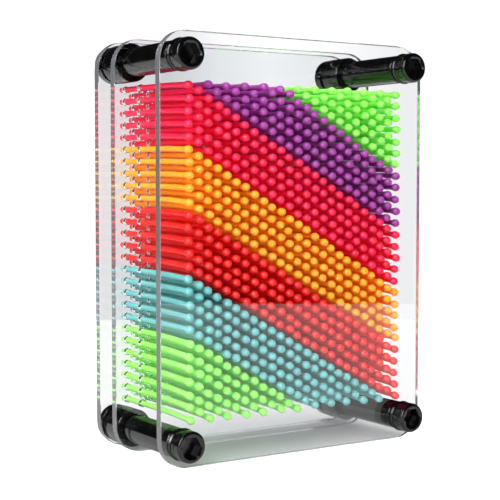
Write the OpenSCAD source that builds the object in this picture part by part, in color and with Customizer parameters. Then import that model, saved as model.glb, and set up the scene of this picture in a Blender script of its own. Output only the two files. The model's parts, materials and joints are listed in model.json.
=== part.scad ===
// Pin art impression toy.
// Three clear plates stand upright on their bottom edges and are held apart by
// four corner posts. A field of coloured pins slides through the two rear plates,
// and the pin heads come forward to the clear cover.
// The toy faces -Y. The origin is at the middle of its width and depth, on the
// surface that the plates stand on.

/* [Plates] */
// Width of each clear plate
plate_w = 153; // [128:1:220]
// Height of each clear plate
plate_h = 200; // [167:1:280]
// Thickness of each clear plate
plate_t = 4.2; // [3:0.1:6]
// Radius of the plates' corners
corner_r = 14; // [4:0.5:20]
// Gap between the cover and the front pin plate
front_gap = 39.7; // [32:0.1:60]
// Gap between the front and the rear pin plate
rear_gap = 12.7; // [10:0.1:25]

/* [Pins] */
// Distance between neighbouring pins
pin_pitch = 5.9; // [5.2:0.05:7.2]
// Diameter of a pin's ball head
pin_head_d = 4; // [3.5:0.1:4.8]
// Diameter of a pin's rod
pin_rod_d = 2.7; // [1.9:0.1:3.3]
// Radial play of a rod in its hole
pin_play = 0.25; // [0.2:0.05:0.5]
// Radial gap that a leaning rod keeps from the rim of its hole
lean_gap = 0.1; // [0.05:0.05:0.15]
// Direction that the heads lean towards, anticlockwise from the right
lean_towards = -25; // [-90:5:0]
// Gap between a pushed-forward head and the cover
head_gap = 0.3; // [0.2:0.1:1]
// Length of rod that stands out behind the rear pin plate
pin_tail = 3; // [1:0.5:10]
// Bevel at the rod's end
tail_bevel = 0.3; // [0:0.1:0.6]
// Least distance from a plate's side edge to a pin's axis
pin_side_rim = 14.5; // [8:0.5:30]
// Least gap along the height between the end rows' heads and the collars
pin_post_gap = 0.1; // [0.1:0.1:5]
// Number of pins across each coloured stripe
stripe_pins = 5; // [4:1:6]

/* [Posts] */
// Rim of plate left outside a collar
post_rim = 2; // [1:0.5:6]
// Diameter of the spacer tube between the cover and the front pin plate
tube_d = 14; // [11:0.5:17]
// Diameter of the collar between the two pin plates
collar_d = 18.5; // [15:0.5:23]
// Diameter of a bolt's shank
bolt_d = 6; // [5:0.5:7.5]
// Radial clearance around a bolt's shank
bolt_play = 0.1; // [0.05:0.05:0.3]
// Depth of a bolt's shank inside the spacer tube
bolt_reach = 12; // [6:0.5:15]

/* [Bolt heads] */
// Diameter of the front head's cap
front_head_d = 14.8; // [14.4:0.2:19]
// Height of the front head above the cover
front_head_h = 8.7; // [7:0.1:14]
// Height of the cap
front_cap_h = 4.4; // [3:0.1:5]
// Step from the cap in to the neck behind it
neck_step = 0.35; // [0.1:0.05:0.6]
// Diameter of the flange that bears on the cover
flange_d = 15.4; // [15:0.2:19]
// Thickness of the flange
flange_h = 0.9; // [0.5:0.1:1.5]
// Diameter of the rear head
rear_head_d = 18; // [15:0.5:22]
// Height of the rear head above the rear pin plate
rear_head_h = 5; // [4:0.1:8]
// Radius of the rounded edge of both heads
head_edge_r = 1.3; // [0.3:0.1:2]
// Hexagon socket size across the flats
socket_af = 9; // [7:0.1:11]
// Depth of the front head's socket
front_socket_depth = 6; // [4.5:0.5:6.5]
// Depth of the rear head's socket
rear_socket_depth = 3; // [1.5:0.1:3.5]

/* [Colours] */
// Colour of the corner posts and bolts
post_colour = "#151517";
// Tint of the clear plates
plate_colour = "#DDE6E8";
// Colour of the two green corners
green = "#7DEB5F";
// Colour of the purple stripe
purple = "#A14BB5";
// Colour of the pink stripe
pink = "#E62A55";
// Colour of the yellow stripe
yellow = "#FDBF2D";
// Colour of the red stripe
red = "#DE2318";
// Colour of the cyan stripe
cyan = "#7FCBD0";

/* [Hidden] */
// Overall depth, and the front face of each plate, from front (-Y) to back (+Y)
depth = front_head_h + 3 * plate_t + front_gap + rear_gap + rear_head_h;
cover_y = front_head_h - depth / 2;
front_plate_y = cover_y + plate_t + front_gap;
rear_plate_y = front_plate_y + plate_t + rear_gap;
rear_face_y = rear_plate_y + plate_t;

// Post axes, inset equally from the side and the end of the plates
post_inset = post_rim + collar_d / 2;
post_x = plate_w / 2 - post_inset;
post_z = plate_h / 2 - post_inset;
bolt_hole_d = bolt_d + 2 * bolt_play;

// Pins: columns stand a triangular lattice apart, every other one half a pitch up
pin_hole_d = pin_rod_d + 2 * pin_play;
column_pitch = pin_pitch * sqrt(3) / 2;
pin_end_rim = post_inset + collar_d / 2 + pin_post_gap + pin_head_d / 2;
half_columns = floor((plate_w / 2 - pin_side_rim) / column_pitch);
half_rows = floor((plate_h / 2 - pin_end_rim) / pin_pitch);
head_y = cover_y + plate_t + head_gap + pin_head_d / 2;

// Each pin leans in its two holes until it almost touches their outer rims, about
// a point halfway through the pair of pin plates
pivot_y = (front_plate_y + rear_face_y) / 2;
lean = atan((pin_play - lean_gap) / (rear_face_y - pivot_y));
head_reach = (pivot_y - head_y) / cos(lean);
tail_reach = (rear_face_y + pin_tail - pivot_y) / cos(lean);

// Stripes from the upper right corner to the lower left: name, colour, blocks.
// Each stripe is split along its columns into blocks of pins that slide together.
STRIPES = [
    ["green_upper", green, 3],
    ["purple", purple, 4],
    ["pink", pink, 5],
    ["yellow", yellow, 5],
    ["red", red, 5],
    ["cyan", cyan, 4],
    ["green_lower", green, 3]
];
MIDDLE_STRIPE = 3;

// Corners as seen from the front: name, side (left is -X), end (top is +Z)
CORNERS = [
    ["top_left", -1, 1],
    ["top_right", 1, 1],
    ["bottom_left", -1, -1],
    ["bottom_right", 1, -1]
];
POST_PIECES = ["front_bolt", "spacer_tube", "collar", "rear_bolt"];

$fn = 48;
cut = 1; // overshoot of a cutting shape past the face it opens

// Heights of the pins in a column above the middle of the plate, in pitches
function column_heights(column) =
    column % 2 == 0 ? [-half_rows:half_rows] : [0.5 - half_rows:half_rows - 0.5];

// The stripe of a pin. Stripes fall from left to right along the lattice.
function stripe_of(column, height) =
    let (step = floor(0.5 - (height + column / 2) / stripe_pins))
    MIDDLE_STRIPE + max(-MIDDLE_STRIPE, min(MIDDLE_STRIPE, step));

// Every pin of a stripe as [column, height], from the left column to the right
function stripe_pins_of(stripe) = [
    for (column = [-half_columns:half_columns])
        for (height = column_heights(column))
            if (stripe_of(column, height) == stripe) [column, height]
];

// The pins of one block: an equal share of the columns that the stripe crosses
function block_pins(stripe, block) =
    let (
        pins = stripe_pins_of(stripe),
        first = pins[0][0],
        columns = pins[len(pins) - 1][0] - first + 1,
        blocks = STRIPES[stripe][2],
        start = first + floor(columns * (block - 1) / blocks),
        end = first + floor(columns * block / blocks)
    )
    [for (pin = pins) if (pin[0] >= start && pin[0] < end) pin];

function pin_x(pin) = pin[0] * column_pitch;
function pin_z(pin) = pin[1] * pin_pitch;

// Plates, drawn flat about their own middle and then stood up

module plate_outline() {
    square([plate_w - 2 * corner_r, plate_h], center = true);
    square([plate_w, plate_h - 2 * corner_r], center = true);
    for (side = [-1, 1], end = [-1, 1])
        translate([side * (plate_w / 2 - corner_r), end * (plate_h / 2 - corner_r)])
            circle(r = corner_r);
}

module bolt_holes() {
    for (corner = CORNERS)
        translate([corner[1] * post_x, corner[2] * post_z])
            circle(d = bolt_hole_d);
}

module pin_holes() {
    for (column = [-half_columns:half_columns])
        for (height = column_heights(column))
            translate([pin_x([column, height]), pin_z([column, height])])
                circle(d = pin_hole_d);
}

// Stands a flat drawing up as a plate whose front face is at front_y
module stand_plate(front_y) {
    color(plate_colour, 0.35)
        translate([0, front_y + plate_t, plate_h / 2])
            rotate([90, 0, 0])
                linear_extrude(plate_t)
                    children();
}

module cover_plate() {
    stand_plate(cover_y)
        difference() {
            plate_outline();
            bolt_holes();
        }
}

module pin_plate(front_y) {
    stand_plate(front_y)
        difference() {
            plate_outline();
            bolt_holes();
            pin_holes();
        }
}

// Posts: each piece is drawn along +Z from its own seat, then turned to Y

module at_post(corner, y) {
    color(post_colour)
        translate([corner[1] * post_x, y, plate_h / 2 + corner[2] * post_z])
            children();
}

// A disc with a rounded outer edge at the top
module rounded_disc(d, h) {
    rotate_extrude() {
        square([d / 2 - head_edge_r, h]);
        square([d / 2, h - head_edge_r]);
        translate([d / 2 - head_edge_r, h - head_edge_r])
            circle(r = head_edge_r);
    }
}

module socket(head_h, socket_depth) {
    translate([0, 0, head_h - socket_depth])
        cylinder(d = socket_af / cos(30), h = socket_depth + cut, $fn = 6);
}

module shank(length) {
    translate([0, 0, -length])
        cylinder(d = bolt_d, h = length);
}

module front_bolt(corner) {
    at_post(corner, cover_y)
        rotate([90, 0, 0]) {
            difference() {
                union() {
                    cylinder(d = flange_d, h = flange_h);
                    cylinder(d = front_head_d - 2 * neck_step, h = front_head_h - head_edge_r);
                    translate([0, 0, front_head_h - front_cap_h])
                        rounded_disc(front_head_d, front_cap_h);
                }
                socket(front_head_h, front_socket_depth);
            }
            shank(plate_t + bolt_reach);
        }
}

module rear_bolt(corner) {
    at_post(corner, rear_face_y)
        rotate([-90, 0, 0]) {
            difference() {
                rounded_disc(rear_head_d, rear_head_h);
                socket(rear_head_h, rear_socket_depth);
            }
            shank(2 * plate_t + rear_gap + bolt_reach);
        }
}

module sleeve(d, length) {
    rotate([-90, 0, 0])
        difference() {
            cylinder(d = d, h = length);
            translate([0, 0, -cut])
                cylinder(d = bolt_hole_d, h = length + 2 * cut);
        }
}

module spacer_tube(corner) {
    at_post(corner, cover_y + plate_t)
        sleeve(tube_d, front_gap);
}

module collar(corner) {
    at_post(corner, front_plate_y + plate_t)
        sleeve(collar_d, rear_gap);
}

// Pins: a ball head in front, a straight rod and a bevelled end behind. A pin is
// drawn along +Z about its pivot, tipped by its lean and laid along Y.

module pin() {
    rotate([-90, -lean_towards, 0])
        rotate([0, -lean, 0]) {
            translate([0, 0, -head_reach])
                sphere(d = pin_head_d);
            translate([0, 0, -head_reach])
                cylinder(d = pin_rod_d, h = head_reach + tail_reach - tail_bevel);
            translate([0, 0, tail_reach - tail_bevel])
                cylinder(d1 = pin_rod_d, d2 = pin_rod_d - 2 * tail_bevel, h = tail_bevel);
        }
}

module pin_block(stripe, block) {
    color(STRIPES[stripe][1])
        for (place = block_pins(stripe, block))
            translate([pin_x(place), pivot_y, plate_h / 2 + pin_z(place)])
                pin();
}

cover_plate();
pin_plate(front_plate_y);  // front_pin_plate
pin_plate(rear_plate_y);  // rear_pin_plate

for (corner = CORNERS) {
    front_bolt(corner);
    spacer_tube(corner);
    collar(corner);
    rear_bolt(corner);
}

for (stripe = [0:len(STRIPES) - 1], block = [1:STRIPES[stripe][2]])
    pin_block(stripe, block);
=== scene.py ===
# %% [markdown]
# # A pin art toy
#
# The real object is a desk toy: three sheets of clear acrylic stand upright, four black posts hold
# them apart, and hundreds of moulded pins slide through the two rear sheets. We start from the
# toy's CAD frame, which fixes every size and joint, and then make each visible piece again with
# the small things that a render needs: bevels, fillets, slightly bent pins and real materials.

# %% Load the frame
import json
from math import asin, copysign, cos, pi, radians, sin, sqrt

import bpy
import numpy as np
from mathutils import Matrix, Vector


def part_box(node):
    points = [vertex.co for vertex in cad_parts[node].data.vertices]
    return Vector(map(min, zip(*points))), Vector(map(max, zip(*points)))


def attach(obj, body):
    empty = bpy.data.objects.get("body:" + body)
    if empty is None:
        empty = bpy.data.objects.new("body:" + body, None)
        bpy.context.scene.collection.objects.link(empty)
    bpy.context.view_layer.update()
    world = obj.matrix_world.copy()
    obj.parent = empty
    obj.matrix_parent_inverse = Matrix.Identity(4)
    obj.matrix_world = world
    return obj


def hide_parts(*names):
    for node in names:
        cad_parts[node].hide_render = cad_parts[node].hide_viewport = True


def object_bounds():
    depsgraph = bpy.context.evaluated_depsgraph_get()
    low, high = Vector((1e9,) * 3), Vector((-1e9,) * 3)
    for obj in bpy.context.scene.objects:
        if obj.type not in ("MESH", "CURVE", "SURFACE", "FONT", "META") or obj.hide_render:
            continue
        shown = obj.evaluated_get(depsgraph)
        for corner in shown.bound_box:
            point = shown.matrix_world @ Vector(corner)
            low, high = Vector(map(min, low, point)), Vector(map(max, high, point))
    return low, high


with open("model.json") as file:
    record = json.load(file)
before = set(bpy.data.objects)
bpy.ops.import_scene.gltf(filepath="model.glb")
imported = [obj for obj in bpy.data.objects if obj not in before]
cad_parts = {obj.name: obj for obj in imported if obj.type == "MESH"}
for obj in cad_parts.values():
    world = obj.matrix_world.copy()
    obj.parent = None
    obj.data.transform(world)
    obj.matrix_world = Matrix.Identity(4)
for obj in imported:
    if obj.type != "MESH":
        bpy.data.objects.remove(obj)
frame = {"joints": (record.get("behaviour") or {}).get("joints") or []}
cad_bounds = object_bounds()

mm = 0.001
low, high = (Vector(corner) for corner in cad_bounds)
middle = (low + high) / 2
print("the toy is", [round(side / mm, 1) for side in high - low], "mm")

# %% [markdown]
# ## Colours
#
# A colour picked on a screen is an sRGB value, and a shader wants a linear one. We could type
# linear numbers, but nobody can picture those, so each colour stays a familiar hex code and one
# function converts it.

# %% Hex to linear
def linear(hex_code):
    channels = [int(hex_code[i:i + 2], 16) / 255 for i in (1, 3, 5)]
    return [c / 12.92 if c <= 0.04045 else ((c + 0.055) / 1.055) ** 2.4 for c in channels]


print("mid grey is", [round(c, 3) for c in linear("#808080")])

# %% [markdown]
# ## Nodes
#
# A material is a small graph. Building one by hand takes three lines for each node: make it, set
# it, link it. One helper does those three things for any kind of node. A value that is an output
# socket becomes a link, and any other value is typed into the socket.

# %% One helper for nodes
def add_node(tree, kind, inputs=None, **settings):
    node = tree.nodes.new(kind)
    for name, value in settings.items():
        setattr(node, name, value)
    for name, value in (inputs or {}).items():
        if isinstance(value, bpy.types.NodeSocket):
            tree.links.new(value, node.inputs[name])
        else:
            node.inputs[name].default_value = value
    return node


def new_material(name):
    material = bpy.data.materials.new(name)
    material.use_nodes = True
    material.node_tree.nodes.clear()
    return material, material.node_tree


print("helpers are ready")

# %% [markdown]
# ## Camera
#
# The toy is seen from its left, almost level with its middle, through a short telephoto lens. We
# could type a place and a rotation, but it is clearer to say what the camera looks at, from which
# side and from how far away, and to let the camera turn itself.

# %% Aim the camera
camera_azimuth = radians(-33.39)
camera_elevation = radians(3.04)
camera_distance = 635 * mm
camera_target = middle + Vector((-3.0, 7.6, -3.0)) * mm
lens_in_mm = 90.15
sensor_in_mm = 36

camera_data = bpy.data.cameras.new("camera")
camera_data.lens = lens_in_mm
camera_data.sensor_width = sensor_in_mm
camera_data.clip_start = 10 * mm
camera = bpy.data.objects.new("camera", camera_data)
bpy.context.scene.collection.objects.link(camera)
sideways = cos(camera_elevation)
toward_camera = Vector((
    sin(camera_azimuth) * sideways,
    -cos(camera_azimuth) * sideways,
    sin(camera_elevation),
))
camera.location = camera_target + camera_distance * toward_camera
camera.rotation_euler = toward_camera.to_track_quat("Z", "Y").to_euler()
bpy.context.scene.camera = camera
print("the camera is at", [round(c, 3) for c in camera.location])

# %% [markdown]
# ## Cast acrylic
#
# The sheets are cast acrylic, an almost colourless glass-clear plastic. Its index of refraction is
# 1.49, so it mirrors about 4 % of the light at each face. Its faces come from a glass mould and
# are nearly perfect: years on a desk only leave a haze too fine to see, which we keep as a
# roughness that wanders a little.
#
# A glass shader alone blocks the lamps and leaves the pins behind it in the dark. The usual cure
# is to let shadow rays pass: a Light Path node swaps in a transparent shader for those rays only.
# Our helper does that for any kinds of ray, and for a share of the light, because the pins will
# need it too.

# %% The clear faces
def let_light_through(tree, surface, tint, share, ray_kinds):
    """Finish a material that lets a share of the light of some kinds of ray straight through."""
    path = add_node(tree, "ShaderNodeLightPath")
    chosen = 0.0
    for kind in ray_kinds:
        total = add_node(tree, "ShaderNodeMath", {
            0: path.outputs[kind], 1: chosen,
        }, operation="ADD")
        chosen = total.outputs["Value"]
    amount = add_node(tree, "ShaderNodeMath", {
        0: chosen, 1: share,
    }, operation="MULTIPLY")
    clear = add_node(tree, "ShaderNodeBsdfTransparent", {"Color": tint})
    mixed = add_node(tree, "ShaderNodeMixShader", {
        0: amount.outputs["Value"], 1: surface.outputs["BSDF"], 2: clear.outputs["BSDF"],
    })
    add_node(tree, "ShaderNodeOutputMaterial", {"Surface": mixed.outputs["Shader"]})


def cast_acrylic():
    material, tree = new_material("cast_acrylic")
    place = add_node(tree, "ShaderNodeTexCoord")
    haze_patch = 25 * mm
    haze = add_node(tree, "ShaderNodeTexNoise", {
        "Vector": place.outputs["Object"], "Scale": 1 / haze_patch, "Detail": 6.0,
    })
    roughness = add_node(tree, "ShaderNodeMapRange", {
        "Value": haze.outputs["Fac"], "From Min": 0.35, "From Max": 0.75,
        "To Min": 0.0, "To Max": 0.04,
    })
    surface = add_node(tree, "ShaderNodeBsdfPrincipled", {
        "Base Color": (*linear("#FBFCFD"), 1), "Transmission Weight": 1.0, "IOR": 1.49,
        "Roughness": roughness.outputs["Result"],
    })
    let_light_through(tree, surface, (*linear("#F4F6F7"), 1), 1.0, ["Is Shadow Ray"])
    return material


acrylic = cast_acrylic()
print("made", acrylic.name)

# %% [markdown]
# ## Cut edges
#
# The outline of each sheet is cut by a laser and then wiped, not polished. The cut melts the
# acrylic into fine ridges across the edge, so light that travels inside the sheet comes out there
# and the edge glows pale lilac grey. Glass alone would show the edge as a dark mirror, so we mix
# some of the glow in: less transmission, more roughness, and ridges as a bump.

# %% The laser-cut edge
def laser_cut_edge():
    material, tree = new_material("laser_cut_acrylic_edge")
    place = add_node(tree, "ShaderNodeTexCoord")
    ridge_spacing = 0.9 * mm  # really about 0.1 mm, drawn coarser so that it shows
    face_to_face = 0.08  # stretches the pattern along Y, so that a ridge crosses the whole edge
    stretched = add_node(tree, "ShaderNodeMapping", {
        "Vector": place.outputs["Object"], "Scale": (1.0, face_to_face, 1.0),
    })
    ridges = add_node(tree, "ShaderNodeTexNoise", {
        "Vector": stretched.outputs["Vector"], "Scale": 1 / ridge_spacing, "Detail": 3.0,
    })
    bump = add_node(tree, "ShaderNodeBump", {
        "Height": ridges.outputs["Fac"], "Strength": 0.25, "Distance": 0.05 * mm,
    })
    roughness = add_node(tree, "ShaderNodeMapRange", {
        "Value": ridges.outputs["Fac"], "To Min": 0.03, "To Max": 0.12,
    })
    surface = add_node(tree, "ShaderNodeBsdfPrincipled", {
        "Base Color": (*linear("#ECEAF2"), 1), "Transmission Weight": 0.86, "IOR": 1.49,
        "Roughness": roughness.outputs["Result"], "Normal": bump.outputs["Normal"],
    })
    let_light_through(tree, surface, (*linear("#DDDDE4"), 1), 1.0, ["Is Shadow Ray"])
    return material


cut_edge = laser_cut_edge()
print("made", cut_edge.name)

# %% [markdown]
# ## Black nylon
#
# Posts and bolts are injection-moulded black nylon. A polished mould leaves a gloss with a faint
# orange peel, finer than a millimetre, and handling leaves duller patches. The plastic
# is nearly black all through, and what shapes it to the eye is the reflection of the soft lights.

# %% Glossy moulded black
def moulded_nylon():
    material, tree = new_material("black_moulded_nylon")
    place = add_node(tree, "ShaderNodeTexCoord")
    handling_patch = 9 * mm
    patches = add_node(tree, "ShaderNodeTexNoise", {
        "Vector": place.outputs["Object"], "Scale": 1 / handling_patch, "Detail": 4.0,
    })
    ramp = add_node(tree, "ShaderNodeValToRGB", {"Fac": patches.outputs["Fac"]})
    ramp.color_ramp.elements[0].color = (*linear("#020202"), 1)
    ramp.color_ramp.elements[1].color = (*linear("#09090A"), 1)
    roughness = add_node(tree, "ShaderNodeMapRange", {
        "Value": patches.outputs["Fac"], "From Min": 0.3, "From Max": 0.7,
        "To Min": 0.1, "To Max": 0.2,
    })
    peel_size = 0.7 * mm
    peel = add_node(tree, "ShaderNodeTexNoise", {
        "Vector": place.outputs["Object"], "Scale": 1 / peel_size, "Detail": 2.0,
    })
    bump = add_node(tree, "ShaderNodeBump", {
        "Height": peel.outputs["Fac"], "Strength": 0.12, "Distance": 0.05 * mm,
    })
    surface = add_node(tree, "ShaderNodeBsdfPrincipled", {
        "Base Color": ramp.outputs["Color"], "Roughness": roughness.outputs["Result"],
        "IOR": 1.53, "Normal": bump.outputs["Normal"],
    })
    add_node(tree, "ShaderNodeOutputMaterial", {"Surface": surface.outputs["BSDF"]})
    return material


nylon = moulded_nylon()
print("made", nylon.name)

# %% [markdown]
# ## Coloured polystyrene
#
# The pins are injection-moulded polystyrene, dyed all through. It is satin on the outside and
# translucent: light enters a pin, scatters a few millimetres and comes out again, which is why the
# heads look lit from inside. Subsurface scattering gives that.
#
# Light also goes on from pin to pin, dyed on its way, and keeps the pack bright to its depth.
# Following it through hundreds of pins would be slow and grainy, so a share of the light from the
# lamps and the room passes straight through each pin in the pin's colour.
#
# Pins come out of many cavities and batches, so no two have quite the same shade: the Geometry
# node's random number for each loose part of a mesh varies the shade pin by pin.

# %% One finish, six dyes
pin_colours = {
    "green": "#92EE5F", "purple": "#9A3893", "pink": "#F40C49",
    "yellow": "#FFA414", "red": "#EA0A05", "cyan": "#6CB4B2",
}
scatter_distance = 6 * mm
share_let_through = 0.6


def moulded_polystyrene(dye):
    material, tree = new_material(dye + "_moulded_polystyrene")
    place = add_node(tree, "ShaderNodeTexCoord")
    each_pin = add_node(tree, "ShaderNodeNewGeometry")
    brightness = add_node(tree, "ShaderNodeMapRange", {
        "Value": each_pin.outputs["Random Per Island"], "To Min": 0.93, "To Max": 1.05,
    })
    flow_mark = 3 * mm
    flow = add_node(tree, "ShaderNodeTexNoise", {
        "Vector": place.outputs["Object"], "Scale": 1 / flow_mark, "Detail": 3.0,
    })
    hue = add_node(tree, "ShaderNodeMapRange", {
        "Value": flow.outputs["Fac"], "To Min": 0.494, "To Max": 0.506,
    })
    colour = add_node(tree, "ShaderNodeHueSaturation", {
        "Color": (*linear(pin_colours[dye]), 1),
        "Hue": hue.outputs["Result"], "Value": brightness.outputs["Result"],
    })
    roughness = add_node(tree, "ShaderNodeMapRange", {
        "Value": flow.outputs["Fac"], "To Min": 0.36, "To Max": 0.52,
    })
    bump = add_node(tree, "ShaderNodeBump", {
        "Height": flow.outputs["Fac"], "Strength": 0.1, "Distance": 0.08 * mm,
    })
    surface = add_node(tree, "ShaderNodeBsdfPrincipled", {
        "Base Color": colour.outputs["Color"], "Roughness": roughness.outputs["Result"],
        "IOR": 1.59, "Normal": bump.outputs["Normal"], "Subsurface Weight": 0.7,
        "Subsurface Radius": linear(pin_colours[dye]), "Subsurface Scale": scatter_distance,
    })
    tint = (*linear(pin_colours[dye]), 1)
    let_light_through(tree, surface, tint, share_let_through, ["Is Shadow Ray", "Is Diffuse Ray"])
    return material


polystyrene = {dye: moulded_polystyrene(dye) for dye in pin_colours}
print("made", len(polystyrene), "dyed finishes")

# %% [markdown]
# ## Where the pins stand
#
# The pins stand on a triangular lattice: every second column is shifted by half a step and holds
# one pin fewer. Colours fall from the upper left to the lower right in stripes five pins wide.
# Both follow from one rule each, so a loop finds every pin, and the frame's blocks of one colour
# share out each stripe's columns.

# %% The lattice and its stripes
pin_pitch = 5.9 * mm
column_pitch = pin_pitch * sqrt(3) / 2
half_columns = 12
half_rows = 13
pins_across_stripe = 5
stripes = [
    ("green_upper", 3), ("purple", 4), ("pink", 5), ("yellow", 5), ("red", 5), ("cyan", 4),
    ("green_lower", 3),
]
middle_stripe = len(stripes) // 2


def stripe_of(column, height):
    """The number of a pin's stripe, counted from the upper right."""
    step = np.floor(0.5 - (height + column / 2) / pins_across_stripe)
    return middle_stripe + int(max(-middle_stripe, min(middle_stripe, step)))


def column_heights(column):
    """How many steps above the middle each pin of a column stands."""
    count = 2 * half_rows + 1 - column % 2
    return [row - (count - 1) / 2 for row in range(count)]


lattice = [
    (column, height)
    for column in range(-half_columns, half_columns + 1)
    for height in column_heights(column)
]
pin_blocks = {}
for number, (stripe, blocks) in enumerate(stripes):
    pins = [pin for pin in lattice if stripe_of(*pin) == number]
    first = pins[0][0]
    columns = pins[-1][0] - first + 1
    for block in range(blocks):
        start = first + columns * block // blocks
        end = first + columns * (block + 1) // blocks
        pin_blocks[f"pins_{stripe}_{block + 1}"] = [p for p in pins if start <= p[0] < end]
print(len(lattice), "pins in", len(pin_blocks), "blocks")

# %% [markdown]
# ## The sheets
#
# A sheet is a flat outline with holes, given a thickness. Cutting hundreds of holes with booleans
# is slow and leaves bad shading. A filled 2D curve does it in one step: every inner outline is a
# hole, the extrusion gives the thickness, and the curve's bevel breaks every sharp edge, as the
# maker's scraper does. We then turn the curve into a mesh, stand it up and give the rim its own
# finish.

# %% Outlines
corner_radius = 14 * mm
pin_hole_radius = 1.6 * mm
bolt_hole_radius = 3.1 * mm
pin_hole_sides = 16
bolt_hole_sides = 48
edge_break = 0.25 * mm


def circle_points(radius, sides, centre=(0, 0)):
    turns = [2 * pi * k / sides for k in range(sides)]
    return [(centre[0] + radius * cos(t), centre[1] + radius * sin(t)) for t in turns]


def rounded_rectangle(width, height, radius, steps=12):
    points = []
    for quarter in range(4):
        right = 1 if quarter in (0, 3) else -1
        top = 1 if quarter in (0, 1) else -1
        centre = (right * (width / 2 - radius), top * (height / 2 - radius))
        for step in range(steps + 1):
            turn = (quarter + step / steps) * pi / 2
            points.append((centre[0] + radius * cos(turn), centre[1] + radius * sin(turn)))
    return points


sheet_low, sheet_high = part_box("cover_plate")
sheet_width = sheet_high.x - sheet_low.x
sheet_height = sheet_high.z - sheet_low.z
sheet_thickness = sheet_high.y - sheet_low.y
tube_low, tube_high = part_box("spacer_tube_top_right")
post_centre = (tube_low + tube_high) / 2 - middle
bolt_holes = [
    circle_points(bolt_hole_radius, bolt_hole_sides, (side * post_centre.x, end * post_centre.z))
    for side in (-1, 1) for end in (-1, 1)
]
pin_holes = [
    circle_points(pin_hole_radius, pin_hole_sides, (column * column_pitch, height * pin_pitch))
    for column, height in lattice
]
print("sheets are", round(sheet_thickness / mm, 2), "mm thick")

# %% Curves into sheets
def sheet(node, holes):
    curve = bpy.data.curves.new(node + "_curve", "CURVE")
    curve.dimensions = "2D"
    curve.fill_mode = "BOTH"
    curve.extrude = sheet_thickness / 2 - edge_break
    curve.bevel_depth = edge_break
    curve.bevel_resolution = 0
    curve.offset = -edge_break
    for points in [rounded_rectangle(sheet_width, sheet_height, corner_radius), *holes]:
        spline = curve.splines.new("POLY")
        spline.points.add(len(points) - 1)
        spline.points.foreach_set("co", [c for x, z in points for c in (x, z, 0, 1)])
        spline.use_cyclic_u = True
    flat = bpy.data.objects.new(node + "_flat", curve)
    bpy.context.scene.collection.objects.link(flat)
    bpy.context.view_layer.update()
    filled = flat.evaluated_get(bpy.context.evaluated_depsgraph_get())
    mesh = bpy.data.meshes.new_from_object(filled)
    bpy.data.objects.remove(flat)
    front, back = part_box(node)
    stand = Matrix.Rotation(pi / 2, 4, "X")
    mesh.transform(Matrix.Translation((front + back) / 2) @ stand)
    return mesh


print("edges are broken by", edge_break / mm, "mm")

# %% Faces, rims and places
sheet_crease = radians(30)


def finish_sheet(node, mesh):
    """Clear faces and holes, a cut finish on the rim and its bevels, and a place in the frame."""
    mesh.materials.clear()
    mesh.materials.append(acrylic)
    mesh.materials.append(cut_edge)
    inside = 1.5 * edge_break  # a bevel's middle is half a break inside the outline
    for face in mesh.polygons:
        centre = face.center - middle
        face.use_smooth = True
        on_side = abs(centre.x) > sheet_width / 2 - inside
        on_end = abs(centre.z) > sheet_height / 2 - inside
        past_x = abs(centre.x) - (sheet_width / 2 - corner_radius)
        past_z = abs(centre.z) - (sheet_height / 2 - corner_radius)
        in_corner = min(past_x, past_z) > 0
        on_corner = in_corner and Vector((past_x, past_z)).length > corner_radius - inside
        face.material_index = int(on_side or on_end or on_corner)
    mesh.set_sharp_from_angle(angle=sheet_crease)
    piece = bpy.data.objects.new(node.replace("plate", "sheet"), mesh)
    bpy.context.scene.collection.objects.link(piece)
    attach(piece, "frame")
    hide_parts(node)
    return piece


for node, holes in (
    ("cover_plate", bolt_holes),
    ("front_pin_plate", bolt_holes + pin_holes),
    ("rear_pin_plate", bolt_holes + pin_holes),
):
    piece = finish_sheet(node, sheet(node, holes))
    print(piece.name, len(piece.data.polygons), "faces")

# %% [markdown]
# ## Turned shapes
#
# Bolts, tubes and collars are all round about one axis. A stack of rings describes such a shape:
# each ring says how far along the axis it lies and how far from the axis its points are.
# A ring whose distance changes with the angle makes a hexagon, so a socket is cut by stacking
# hexagonal rings inward, with no boolean.

# %% Rings, hexagons and round edges
post_sides = 96
post_angles = [2 * pi * k / post_sides for k in range(post_sides)]


def round_ring(along, radius):
    return along, [radius] * post_sides


def hexagon_ring(along, across_flats):
    flat = radians(60)  # what one of the six flats spans
    return along, [across_flats / 2 / cos(angle % flat - flat / 2) for angle in post_angles]


def rounded_edge(along, radius, edge, direction, steps):
    """Rings round the outer edge of an end face, from the side of the head onto the face."""
    rings = []
    for step in range(steps + 1):
        turn = step / steps * pi / 2
        rings.append(round_ring(along - direction * edge * (1 - sin(turn)),
                                radius - edge * (1 - cos(turn))))
    return rings


def stack_rings(name, rings, joined=False):
    """A mesh along Y from a stack of rings, closed by end faces, or joined end to end."""
    points = [
        (radius * cos(angle), along, radius * sin(angle))
        for along, radii in rings
        for radius, angle in zip(radii, post_angles)
    ]
    count = len(rings)
    faces = []
    for ring in range(count if joined else count - 1):
        here = ring * post_sides
        beyond = (ring + 1) % count * post_sides
        for k in range(post_sides):
            after = (k + 1) % post_sides
            faces.append((here + k, here + after, beyond + after, beyond + k))
    if not joined:
        faces.append(tuple(range(post_sides))[::-1])
        faces.append(tuple(range((count - 1) * post_sides, count * post_sides)))
    mesh = bpy.data.meshes.new(name)
    mesh.from_pydata(points, [], faces)
    mesh.validate()
    return mesh


print("rings of", post_sides, "points")

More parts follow.
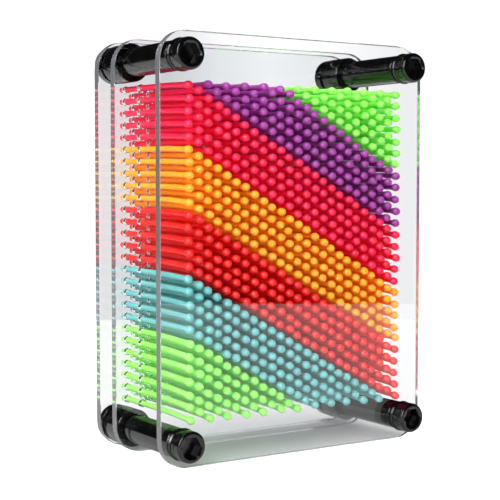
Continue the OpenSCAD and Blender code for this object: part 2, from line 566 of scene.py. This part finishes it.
# %% [markdown]
# ## Posts
#
# Each corner has a front bolt, a long tube, a collar and a rear bolt. A front head is a thin flange,
# a neck and a cap with a rounded shoulder and a hexagon socket. Every turned end has a chamfer,
# because a sharp edge never catches the light. The frame gives each piece's two ends and its
# largest radius. What lies between, such as the shank, the neck, the cap and the socket, is named
# here.

# %% Bolts
socket_across_flats = 9 * mm
socket_lead_in = 0.5 * mm
socket_tip_depth = 0.4 * mm
socket_tip_radius = socket_across_flats / 6
head_edge = 1.3 * mm
head_edge_steps = 6
chamfer = 0.35 * mm
bolt_shank_radius = 3 * mm


def shank_rings(shank_end, seat, out):
    """A shank up to the head's seat. The head points out: -1 to the front, 1 to the rear."""
    return [
        round_ring(shank_end, bolt_shank_radius - chamfer),
        round_ring(shank_end + out * chamfer, bolt_shank_radius),
        round_ring(seat, bolt_shank_radius),
    ]


def drum_rings(start, end, radius, out, edge, steps=1):
    """A drum with a small break at its start and a rounded edge, or one flat step, at its end."""
    back_break = chamfer / 2
    return [
        round_ring(start, radius - back_break),
        round_ring(start + out * back_break, radius),
        *rounded_edge(end, radius, edge, out, steps),
    ]


def socket_rings(head_end, depth, out):
    """A hexagon socket with a lead-in at its mouth and a shallow tip in its floor."""
    lead_in_radius = socket_across_flats / 2 / cos(pi / 6) + socket_lead_in
    floor = head_end - out * depth
    return [
        round_ring(head_end, lead_in_radius),
        hexagon_ring(head_end - out * socket_lead_in, socket_across_flats),
        hexagon_ring(floor, socket_across_flats),
        round_ring(floor - out * socket_tip_depth, socket_tip_radius),
    ]


def sleeve(node, start, end, radius, bore_radius):
    """A tube or a collar: its outside with two chamfers, then its bore, joined end to end."""
    return stack_rings(node, [
        round_ring(start, radius - chamfer),
        round_ring(start + chamfer, radius),
        round_ring(end - chamfer, radius),
        round_ring(end, radius - chamfer),
        round_ring(end, bore_radius),
        round_ring(start, bore_radius),
    ], joined=True)


print("sockets are", socket_across_flats / mm, "mm across the flats")

# %% Front and rear heads
flange_height = 0.9 * mm
flange_edge = 0.55 * mm
cap_radius = 7.4 * mm
cap_height = 4.4 * mm
neck_radius = 7.05 * mm
front_socket_depth = 6 * mm
rear_socket_depth = 3 * mm


def front_bolt(node, seat, head_end, shank_end, flange_radius):
    return stack_rings(node, [
        *shank_rings(shank_end, seat, -1),
        *drum_rings(seat, seat - flange_height, flange_radius, -1, flange_edge),
        round_ring(seat - flange_height, neck_radius),
        round_ring(head_end + cap_height, neck_radius),
        *drum_rings(head_end + cap_height, head_end, cap_radius, -1, head_edge, head_edge_steps),
        *socket_rings(head_end, front_socket_depth, -1),
    ])


def rear_bolt(node, seat, head_end, shank_end, head_radius):
    return stack_rings(node, [
        *shank_rings(shank_end, seat, 1),
        *drum_rings(seat, head_end, head_radius, 1, head_edge, head_edge_steps),
        *socket_rings(head_end, rear_socket_depth, 1),
    ])


print("caps are", 2 * cap_radius / mm, "mm across")

# %% Four posts
post_crease = radians(28)


def add_post_piece(node, mesh, centre):
    mesh.transform(Matrix.Translation((centre.x, 0, centre.z)))
    mesh.materials.append(nylon)
    mesh.shade_smooth()
    mesh.set_sharp_from_angle(angle=post_crease)
    piece = bpy.data.objects.new(node + "_turned", mesh)
    bpy.context.scene.collection.objects.link(piece)
    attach(piece, "frame")
    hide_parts(node)


cover_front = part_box("cover_plate")[0].y
rear_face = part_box("rear_pin_plate")[1].y
for corner in ("top_left", "top_right", "bottom_left", "bottom_right"):
    for kind in ("front_bolt", "spacer_tube", "collar", "rear_bolt"):
        node = f"{kind}_{corner}"
        start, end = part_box(node)
        radius = (end.x - start.x) / 2
        if kind == "front_bolt":
            mesh = front_bolt(node, cover_front, start.y, end.y, radius)
        elif kind == "rear_bolt":
            mesh = rear_bolt(node, rear_face, end.y, start.y, radius)
        else:
            mesh = sleeve(node, start.y, end.y, radius, bolt_hole_radius)
        add_post_piece(node, mesh, (start + end) / 2)
    print("post", corner, "is up")

# %% [markdown]
# ## Pins
#
# A pin is one moulding: a ball head, a small fillet, a long rod and a bevelled end. All pins hang
# a little in their loose holes, and the moulding has left each rod slightly bent near its head.
# We could place one pin mesh hundreds of times, but then every pin would be identical. Instead one
# profile of rings is swept along each pin's own centre line, which is straight through the two
# sheets and curves on the way to its head.

# %% The profile of a pin
head_radius = 2 * mm
rod_radius = 1.35 * mm
tail_bevel = 0.3 * mm
tail_length = 3 * mm
pin_sides = 16
front_sheet_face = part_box("front_pin_plate")[0].y
pivot_y = (front_sheet_face + rear_face) / 2
slide = Vector(frame["joints"][0]["axis"]).normalized()
cover_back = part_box("cover_plate")[1].y
head_gap = 0.3 * mm
head_reach = (pivot_y - cover_back - head_gap - head_radius) / slide.y
tail_reach = (rear_face + tail_length - pivot_y) / slide.y
free_length = front_sheet_face - cover_back - head_gap - head_radius

print("a pin is", round((head_reach + head_radius + tail_reach) / mm, 1), "mm long")

# %% Its rings, from the ball to the tail
ball_margin = radians(14)  # left at the pole for the end point, and at the rod for the fillet
ball_ring_count = 9
rod_ring_count = 7
straight_from = 4 * mm
fillet_middle = 1.02 * head_radius
fillet_rise = 0.16 * mm
fillet_to_ball = 0.12 * mm
fillet_to_rod = 0.25 * mm

ball_end = pi - asin(rod_radius / head_radius) - ball_margin
ball = [
    (-head_reach - head_radius * cos(turn), head_radius * sin(turn))
    for turn in np.linspace(ball_margin, ball_end, ball_ring_count)
]
neck = -head_reach + fillet_middle
fillet = [(neck - fillet_to_ball, rod_radius + fillet_rise), (neck + fillet_to_rod, rod_radius)]
rod_start = -head_reach + straight_from
rod_end = -(pivot_y - front_sheet_face) / slide.y
rod = [(along, rod_radius) for along in np.linspace(rod_start, rod_end, rod_ring_count)]
tail = [(tail_reach - tail_bevel, rod_radius), (tail_reach, rod_radius - tail_bevel)]
profile = np.array(ball + fillet + rod + tail)
print("a pin has", len(profile), "rings")

# %% Bend, and sweep
bend_right = 2.4 * mm
bend_down = 1.2 * mm
bend_up_at_top = 0.9 * mm
bend_spread = 0.3 * mm
bend_power = 3  # a cube starts so gently that the rod leaves its hole straight
bend_past_ball = 1.06  # the front of the ball bends on a little past the free length
most_pushed_back = 0.5 * mm
random = np.random.default_rng(7)


def pin_points(column, height):
    """One pin as an array of points: the pole of its ball, its rings, and the end of its tail."""
    foot = Vector((column * column_pitch, pivot_y, middle.z + height * pin_pitch))
    rise = bend_up_at_top * height / half_rows - bend_down
    scatter = np.clip(random.normal(0, bend_spread, 2), -2 * bend_spread, 2 * bend_spread)
    pushed_back = random.uniform(0, most_pushed_back)
    along = np.concatenate(([-head_reach - head_radius], profile[:, 0], [tail_reach]))
    radii = np.concatenate(([0], profile[:, 1], [0]))
    bent = np.clip((rod_end - along) / free_length, 0, bend_past_ball) ** bend_power
    centres = np.array(foot) + np.outer(along + pushed_back, np.array(slide))
    centres[:, 0] += bent * (bend_right + scatter[0])
    centres[:, 2] += bent * (rise + scatter[1])
    turns = 2 * pi * np.arange(pin_sides) / pin_sides
    across = np.stack((np.cos(turns), 0 * turns, np.sin(turns)), axis=1)
    rings = centres[1:-1, None, :] + radii[1:-1, None, None] * across[None]
    return np.concatenate((centres[:1], rings.reshape(-1, 3), centres[-1:]))


def pin_faces():
    """The faces of one pin: a cap at each end and a band between each pair of rings."""
    rings = len(profile)
    last = 1 + rings * pin_sides
    faces = []
    for k in range(pin_sides):
        after = (k + 1) % pin_sides
        faces.append((0, 1 + after, 1 + k))
        faces.append((last, last - pin_sides + k, last - pin_sides + after))
        for ring in range(rings - 1):
            here = 1 + ring * pin_sides
            beyond = here + pin_sides
            faces.append((here + k, here + after, beyond + after, beyond + k))
    return faces


one_pin_faces = pin_faces()
print("a pin has", len(one_pin_faces), "faces")

# %% Every block of pins
pin_crease = radians(40)

for node, pins in pin_blocks.items():
    points = [pin_points(column, height) for column, height in pins]
    size = len(points[0])
    faces = [
        tuple(corner + number * size for corner in face)
        for number in range(len(pins)) for face in one_pin_faces
    ]
    mesh = bpy.data.meshes.new(node + "_moulded")
    mesh.from_pydata(np.concatenate(points).tolist(), [], faces)
    mesh.validate()
    dye = node.split("_")[1]
    mesh.materials.append(polystyrene[dye])
    mesh.shade_smooth()
    mesh.set_sharp_from_angle(angle=pin_crease)
    piece = bpy.data.objects.new(node + "_moulded", mesh)
    bpy.context.scene.collection.objects.link(piece)
    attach(piece, node)
    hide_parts(node)
print("swept", sum(map(len, pin_blocks.values())), "pins")

# %% [markdown]
# ## Floor
#
# The toy stands on one flat sheet of matt white board. It could simply be larger than the view,
# but the cover is a mirror and the sheets are windows, so both of its edges show in them. The
# front edge is cut across the direction in which the cover mirrors our view, and the back edge
# across the view itself, and so both look level.
#
# To rays straight from the camera the board glows white, as an overexposed set does, and no
# shadow shows round the toy. All other rays find it lit by the lamps, with a faint glow of its
# own. It is staging, not part of the toy.

# %% Seen straight or in a mirror
def seen_straight(tree):
    """1 for a ray that has only passed through clear plastic, 0 after a mirror or a matt face."""
    path = add_node(tree, "ShaderNodeLightPath")
    bounces = add_node(tree, "ShaderNodeMath", {
        0: path.outputs["Glossy Depth"], 1: path.outputs["Diffuse Depth"],
    }, operation="ADD")
    straight = add_node(tree, "ShaderNodeMath", {
        0: bounces.outputs["Value"], 1: 0.5,
    }, operation="LESS_THAN")
    return straight.outputs["Value"]


print("one helper tells straight rays from mirrored ones")


# %% White board
front_edge_away = 0.775
back_edge_away = 0.57
board_left = -2.5
board_right = 0.9
board_glow = 0.1
white_glow = 1.0


def white_board():
    material, tree = new_material("matt_white_board")
    place = add_node(tree, "ShaderNodeTexCoord")
    fibre_clump = 4 * mm
    fibre = add_node(tree, "ShaderNodeTexNoise", {
        "Vector": place.outputs["Object"], "Scale": 1 / fibre_clump, "Detail": 4.0,
    })
    ramp = add_node(tree, "ShaderNodeValToRGB", {"Fac": fibre.outputs["Fac"]})
    ramp.color_ramp.elements[0].color = (*linear("#BCBCBC"), 1)
    ramp.color_ramp.elements[1].color = (*linear("#C4C4C4"), 1)
    surface = add_node(tree, "ShaderNodeBsdfPrincipled", {
        "Base Color": ramp.outputs["Color"], "Roughness": 0.75,
    })
    path = add_node(tree, "ShaderNodeLightPath")
    strength = add_node(tree, "ShaderNodeMapRange", {
        "Value": path.outputs["Is Camera Ray"], "To Min": board_glow, "To Max": white_glow,
    })
    lit = add_node(tree, "ShaderNodeEmission", {"Strength": strength.outputs["Result"]})
    both = add_node(tree, "ShaderNodeAddShader", {
        0: surface.outputs["BSDF"], 1: lit.outputs["Emission"],
    })
    add_node(tree, "ShaderNodeOutputMaterial", {"Surface": both.outputs["Shader"]})
    return material


def board_corner(view, away, aside):
    """A corner of the edge that lies away from the toy along a view and runs across that view."""
    across = Vector((abs(view.y), -view.x * copysign(1, view.y), 0))
    return away * view + aside * across


view_past_toy = Vector((-sin(camera_azimuth), cos(camera_azimuth), 0))
view_in_cover = Vector((view_past_toy.x, -view_past_toy.y, 0))
board = bpy.data.meshes.new("board")
board.from_pydata([
    board_corner(view_in_cover, front_edge_away, board_left),
    board_corner(view_in_cover, front_edge_away, board_right),
    board_corner(view_past_toy, back_edge_away, board_right),
    board_corner(view_past_toy, back_edge_away, board_left),
], [], [(0, 1, 2, 3)])
board.materials.append(white_board())
floor = bpy.data.objects.new("floor", board)
bpy.context.scene.collection.objects.link(floor)
print("the board's front edge is", front_edge_away, "m from the toy")

# %% [markdown]
# ## Light
#
# A white product set is mostly soft light from above: a sun as wide as a quarter of the sky, which
# mirrors don't show, so that the black posts stay black. One softbox beside the camera makes the
# pin heads bright. A tall, narrow strip lights no matt surface, and only draws thin glints along
# the rounded edges of glossy pieces.

# %% Softboxes
def softbox(name, azimuth, elevation, distance, size, power):
    data = bpy.data.lights.new(name, "AREA")
    data.shape = "RECTANGLE"
    data.size, data.size_y = size
    data.energy = power
    lamp = bpy.data.objects.new(name, data)
    bpy.context.scene.collection.objects.link(lamp)
    turn, lift = radians(azimuth), radians(elevation)
    away = Vector((sin(turn) * cos(lift), -cos(turn) * cos(lift), sin(lift)))
    lamp.location = middle + distance * away
    lamp.rotation_euler = away.to_track_quat("Z", "Y").to_euler()
    return lamp


softbox("beside_camera", azimuth=-45, elevation=25, distance=1.6, size=(1.0, 1.0), power=14.5)
rim_strip = softbox("rim_strip", azimuth=-55, elevation=24, distance=1.5, size=(0.1, 1.4), power=9)
rim_strip.visible_diffuse = False

overhead_tilt = (radians(-12), radians(-8), 0)
overhead = bpy.data.lights.new("overhead", "SUN")
overhead.energy = 1.85
overhead.angle = radians(45)
overhead_lamp = bpy.data.objects.new("overhead", overhead)
bpy.context.scene.collection.objects.link(overhead_lamp)
overhead_lamp.rotation_euler = overhead_tilt
overhead_lamp.visible_glossy = False
print("three lights")

# %% [markdown]
# ## Background
#
# The set behind the toy is white where we look straight at it. Through the sheets it is a soft
# gradient, brightest behind the middle of the toy, as a backdrop lit from one place is. The rest
# of the room is nearly black in mirrors, because a dark mirror keeps the colours behind the cover
# strong, and bright as a fill for matt surfaces. The Light Path node can tell those rays apart.

# %% The backdrop
white_light = 1.08
brightest_behind = 1.24
behind_toy = ((0.45, 0.67), (0.493, 0.69), (0.526, 0.88), (0.561, 1.0), (0.646, 0.78))

world = bpy.data.worlds.new("white_set")
world.use_nodes = True
world.cycles.sampling_method = "NONE"  # a plain world needs no map of its bright places
tree = world.node_tree
tree.nodes.clear()
path = add_node(tree, "ShaderNodeLightPath")
direction = add_node(tree, "ShaderNodeTexCoord")
toward = add_node(tree, "ShaderNodeSeparateXYZ", {"Vector": direction.outputs["Generated"]})
fade = add_node(tree, "ShaderNodeValToRGB", {"Fac": toward.outputs["X"]})
stops = fade.color_ramp.elements
for number, (position, brightness) in enumerate(behind_toy):
    if number == len(stops):
        stops.new(position)
    stops[number].position = position
    stops[number].color = (brightness, brightness, brightness, 1)
gradient = add_node(tree, "ShaderNodeMath", {
    0: fade.outputs["Color"], 1: brightest_behind,
}, operation="MULTIPLY")
backdrop = add_node(tree, "ShaderNodeMapRange", {
    "Value": path.outputs["Is Camera Ray"], "To Min": gradient.outputs["Value"],
    "To Max": white_light,
})
print("the backdrop has", len(stops), "stops")

# %% The room
room_mirrored = 0.012
room_fill = 1.25

room = add_node(tree, "ShaderNodeMapRange", {
    "Value": path.outputs["Diffuse Depth"], "To Min": room_mirrored, "To Max": room_fill,
})
strength = add_node(tree, "ShaderNodeMapRange", {
    "Value": seen_straight(tree), "To Min": room.outputs["Result"],
    "To Max": backdrop.outputs["Result"],
})
white = add_node(tree, "ShaderNodeBackground", {
    "Color": (1, 1, 1, 1), "Strength": strength.outputs["Result"],
})
add_node(tree, "ShaderNodeOutputWorld", {"Surface": white.outputs["Background"]})
bpy.context.scene.world = world
bpy.context.scene.view_settings.view_transform = "Standard"
print("the background gives", white_light, "and the room", room_fill)
